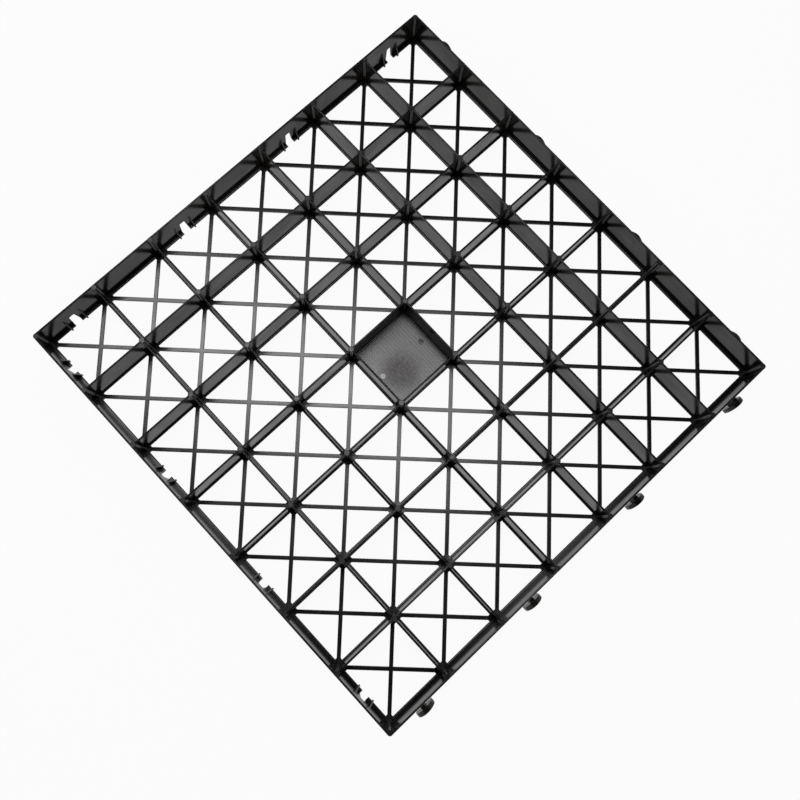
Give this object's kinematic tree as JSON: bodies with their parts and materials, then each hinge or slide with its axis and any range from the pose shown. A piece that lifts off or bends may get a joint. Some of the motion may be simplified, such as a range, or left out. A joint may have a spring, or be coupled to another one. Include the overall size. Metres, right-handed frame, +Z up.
{
  "type": "gravel grid",
  "caption": "Square open-cell ground grid in moulded plastic that keeps gravel in place, with a barred floor, T hooks on two sides and matching slots on the other two.",
  "frame": {"origin": "middle of the underside, below the middle plate, in the plane the grid lies on", "axes": "+Z up out of the cells; hooks point along +X (right) and +Y (back), slots open on -X (left) and -Y (front)"},
  "size_m": [0.5121, 0.5121, 0.04],
  "materials": {
    "plastic": "satin black, as moulded"
  },
  "bodies": {
    "root": {"gravel_grid": "plastic"}
  },
  "joints": []
}
